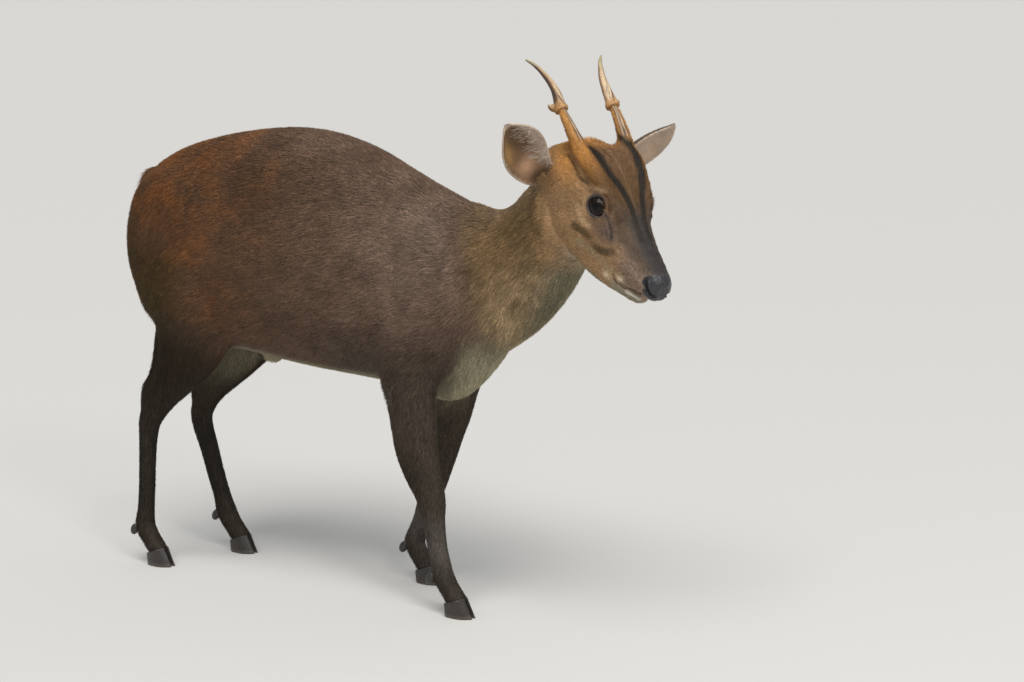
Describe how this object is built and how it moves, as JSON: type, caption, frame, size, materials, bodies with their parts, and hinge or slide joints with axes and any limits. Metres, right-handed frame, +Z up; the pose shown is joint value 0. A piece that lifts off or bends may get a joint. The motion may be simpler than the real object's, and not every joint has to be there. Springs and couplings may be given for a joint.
{
  "type": "muntjac",
  "caption": "Standing muntjac buck with lowered, turned head, cupped ears, forked antlers on furred stalks and cloven hooves: a still, life-size figure.",
  "frame": {"origin": "on the floor, below the middle of the bounding box", "axes": "+X forward along the trunk, +Y to the animal's left, +Z up"},
  "size_m": [0.8296, 0.2298, 0.6579],
  "materials": {
    "coat": "short ticked brown fur, orange on brow and rump, pale on throat and belly",
    "leg_coat": "short blackish-brown fur",
    "antler": "dull brown antler with a pale worn ridge and tip",
    "hoof": "satin dark horn",
    "eye": "wet, almost black"
  },
  "bodies": {
    "root": {"head": "coat", "neck": "coat", "torso": "coat", "tail": "coat", "ear_left": "coat", "ear_right": "coat", "leg_front_left": "leg_coat", "leg_front_right": "leg_coat", "leg_hind_left": "leg_coat", "leg_hind_right": "leg_coat", "antler_left": "antler", "antler_right": "antler", "tine_left": "antler", "tine_right": "antler", "hoof_front_left_inner": "hoof", "hoof_front_left_outer": "hoof", "hoof_front_right_inner": "hoof", "hoof_front_right_outer": "hoof", "hoof_hind_left_inner": "hoof", "hoof_hind_left_outer": "hoof", "hoof_hind_right_inner": "hoof", "hoof_hind_right_outer": "hoof", "dewclaw_front_left_inner": "hoof", "dewclaw_front_left_outer": "hoof", "dewclaw_front_right_inner": "hoof", "dewclaw_front_right_outer": "hoof", "dewclaw_hind_left_inner": "hoof", "dewclaw_hind_left_outer": "hoof", "dewclaw_hind_right_inner": "hoof", "dewclaw_hind_right_outer": "hoof", "eye_left": "eye", "eye_right": "eye"}
  },
  "joints": []
}
